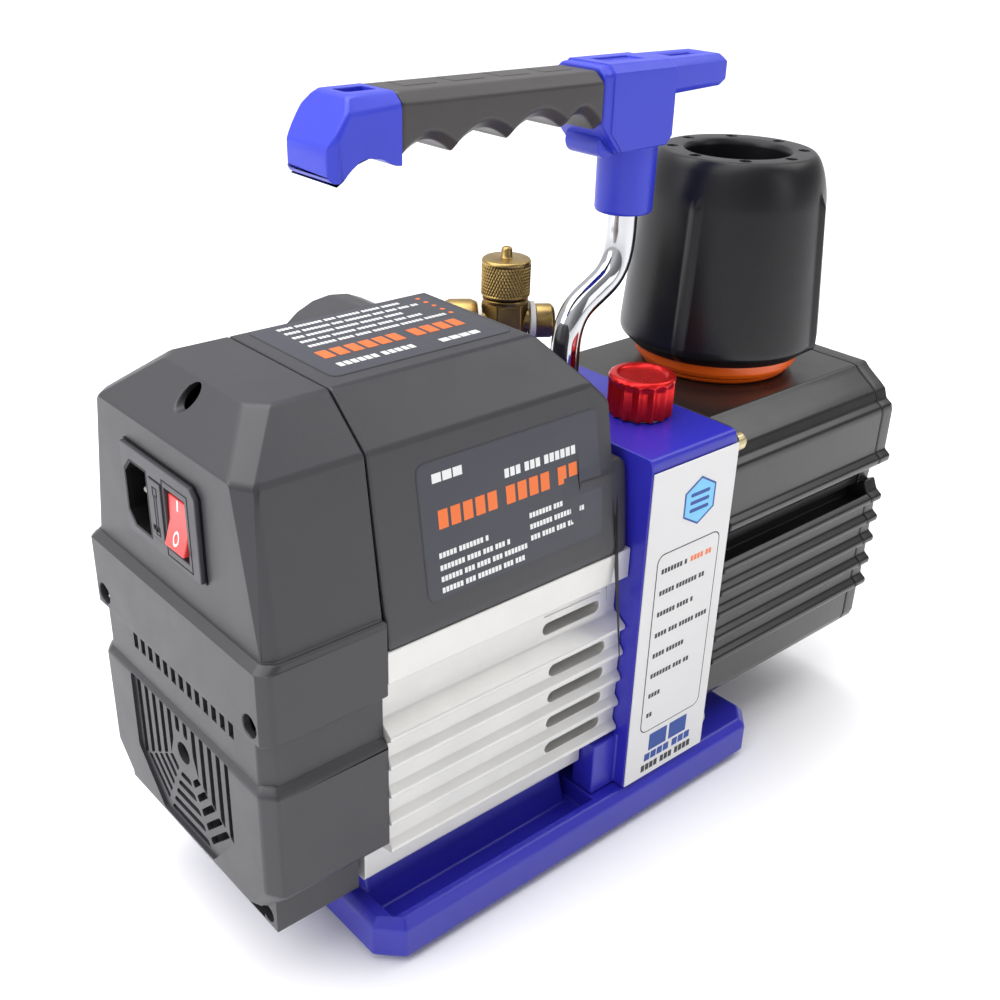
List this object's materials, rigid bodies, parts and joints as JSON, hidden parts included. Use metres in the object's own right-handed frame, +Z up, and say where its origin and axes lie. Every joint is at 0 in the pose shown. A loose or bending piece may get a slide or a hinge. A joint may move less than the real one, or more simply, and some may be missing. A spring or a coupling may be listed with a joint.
{
  "type": "rotary vane vacuum pump",
  "caption": "Portable rotary vane vacuum pump with finned motor housing, finned oil tank, exhaust filter, capped inlet, gas ballast knob, rear power module and top handle.",
  "frame": {"origin": "centre of the whole pump's bounding box, on the surface it stands on", "axes": "+X from the motor to the oil tank along the shaft, +Z up"},
  "size_m": [0.3372, 0.14, 0.305],
  "materials": {
    "blue_paint": "blue powder coat",
    "handle_blue": "satin moulded",
    "dark_plastic": "fine texture",
    "black_plastic": "satin",
    "module_plastic": "satin",
    "grip_rubber": "matt",
    "foot_rubber": "matt",
    "silver_aluminium": "satin die cast",
    "black_aluminium": "black coated, satin",
    "steel": "machined",
    "cast_iron": "machined",
    "chrome": "polished",
    "brass": "turned",
    "copper": "lacquered wire",
    "rocker_red": "glossy",
    "knob_red": "red anodised",
    "orange_ring": "satin",
    "label_white": "satin film",
    "glass": "clear",
    "circuit_board": "solder mask",
    "seal_rubber": "matt",
    "vane_carbon": "carbon composite"
  },
  "bodies": {
    "pump": {"base_plate": "blue_paint", "bracket": "blue_paint", "handle_head": "handle_blue", "handle_end": "handle_blue", "rear_cover": "dark_plastic", "fan_cover": "dark_plastic", "control_cover": "dark_plastic", "gauge_case": "black_plastic", "power_module": "module_plastic", "handle_grip": "grip_rubber", "foot_1": "foot_rubber", "foot_2": "foot_rubber", "foot_3": "foot_rubber", "foot_4": "foot_rubber", "motor_housing": "silver_aluminium", "motor_end_shield": "silver_aluminium", "oil_tank": "black_aluminium", "tank_front": "black_aluminium", "stator_core": "steel", "rear_bearing": "steel", "front_bearing": "steel", "sight_glass_ring": "steel", "tank_flange": "cast_iron", "stage_1_housing": "cast_iron", "stage_2_housing": "cast_iron", "pump_front_plate": "cast_iron", "pump_end_plate": "cast_iron", "handle_rod": "chrome", "inlet_body": "brass", "flange_bolt_1": "brass", "flange_bolt_2": "brass", "flange_bolt_3": "brass", "flange_bolt_4": "brass", "winding_rear": "copper", "winding_front": "copper", "label_plate": "label_white", "gauge_glass": "glass", "sight_glass": "glass", "circuit_board": "circuit_board", "shaft_seal": "seal_rubber"},
    "rotor": {"drive_shaft": "steel", "motor_rotor": "cast_iron", "cooling_fan": "black_plastic", "pump_rotor_1": "steel", "pump_rotor_2": "steel", "vane_1": "vane_carbon", "vane_2": "vane_carbon", "vane_3": "vane_carbon", "vane_4": "vane_carbon"},
    "rocker": {"rocker_switch": "rocker_red"},
    "fuse_carrier": {"fuse_drawer": "module_plastic"},
    "ballast_spindle": {"ballast_stem": "brass"},
    "ballast": {"ballast_knob": "knob_red"},
    "cap_seal": {"cap_gasket": "seal_rubber"},
    "cap": {"inlet_cap": "brass"},
    "filter_seal": {"filter_ring": "orange_ring"},
    "filter": {"filter_body": "black_plastic"},
    "drain_seal": {"drain_washer": "brass"},
    "drain": {"drain_plug": "brass"},
    "needle": {"gauge_needle": "seal_rubber"}
  },
  "joints": [
    {"name": "rotor_spin", "type": "hinge", "parent": "pump", "child": "rotor", "pos_m": [0, 0, 0.08], "axis": [1, 0, 0], "continuous": true},
    {"name": "rocker_tilt", "type": "hinge", "parent": "pump", "child": "rocker", "pos_m": [-0.1582, -0.01145, 0.1775], "axis": [0, 1, 0], "range_deg": [-14, 0]},
    {"name": "fuse_slide", "type": "slide", "parent": "pump", "child": "fuse_carrier", "axis": [-1, 0, 0], "range_m": [0, 0.018]},
    {"name": "ballast_lift", "type": "slide", "parent": "pump", "child": "ballast_spindle", "axis": [0, 0, 1], "range_m": [0, 0.0021]},
    {"name": "ballast_turn", "type": "hinge", "parent": "ballast_spindle", "child": "ballast", "pos_m": [0.027, -0.032, 0.18], "axis": [0, 0, 1], "range_deg": [0, 720]},
    {"name": "cap_lift", "type": "slide", "parent": "pump", "child": "cap_seal", "axis": [0, 0, 1], "range_m": [0, 0.0128]},
    {"name": "cap_turn", "type": "hinge", "parent": "cap_seal", "child": "cap", "pos_m": [0.022, 0.045, 0.21], "axis": [0, 0, 1], "range_deg": [0, 3240]},
    {"name": "filter_lift", "type": "slide", "parent": "pump", "child": "filter_seal", "axis": [0, 0, 1], "range_m": [0, 0.0121]},
    {"name": "filter_turn", "type": "hinge", "parent": "filter_seal", "child": "filter", "pos_m": [0.112, 0, 0.2], "axis": [0, 0, 1], "range_deg": [0, 2160]},
    {"name": "drain_draw", "type": "slide", "parent": "pump", "child": "drain_seal", "axis": [1, 0, 0], "range_m": [0, 0.0121]},
    {"name": "drain_turn", "type": "hinge", "parent": "drain_seal", "child": "drain", "pos_m": [0.165, 0, 0.048], "axis": [1, 0, 0], "range_deg": [0, 2880]},
    {"name": "needle_swing", "type": "hinge", "parent": "pump", "child": "needle", "pos_m": [-0.0535, 0.0606, 0.1815], "axis": [0, 1, 0], "range_deg": [-270, 0]}
  ],
  "couplings": [
    {"joint": "ballast_lift", "follows": "ballast_turn", "m_per_rad": 0.00015915},
    {"joint": "cap_lift", "follows": "cap_turn", "m_per_rad": 0.00022441},
    {"joint": "filter_lift", "follows": "filter_turn", "m_per_rad": 0.00031831},
    {"joint": "drain_draw", "follows": "drain_turn", "m_per_rad": 0.00023873}
  ]
}
